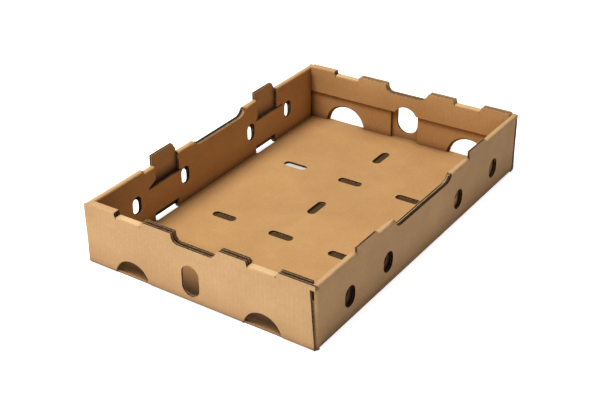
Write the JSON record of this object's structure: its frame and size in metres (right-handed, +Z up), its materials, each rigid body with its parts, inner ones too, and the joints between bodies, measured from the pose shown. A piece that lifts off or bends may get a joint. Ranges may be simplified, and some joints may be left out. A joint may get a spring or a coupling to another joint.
{
  "type": "cardboard tray",
  "caption": "Open rectangular tray folded from corrugated cardboard, with vent holes, hand holes, floor slots and stacking tabs on its long walls.",
  "frame": {"origin": "middle of the footprint, on the surface that the tray stands on", "axes": "+X along the short end walls, +Y along the long walls from the front end, +Z up"},
  "size_m": [0.4, 0.6, 0.1135],
  "materials": {
    "board": "matte kraft"
  },
  "bodies": {
    "root": {"tray": "board"}
  },
  "joints": []
}
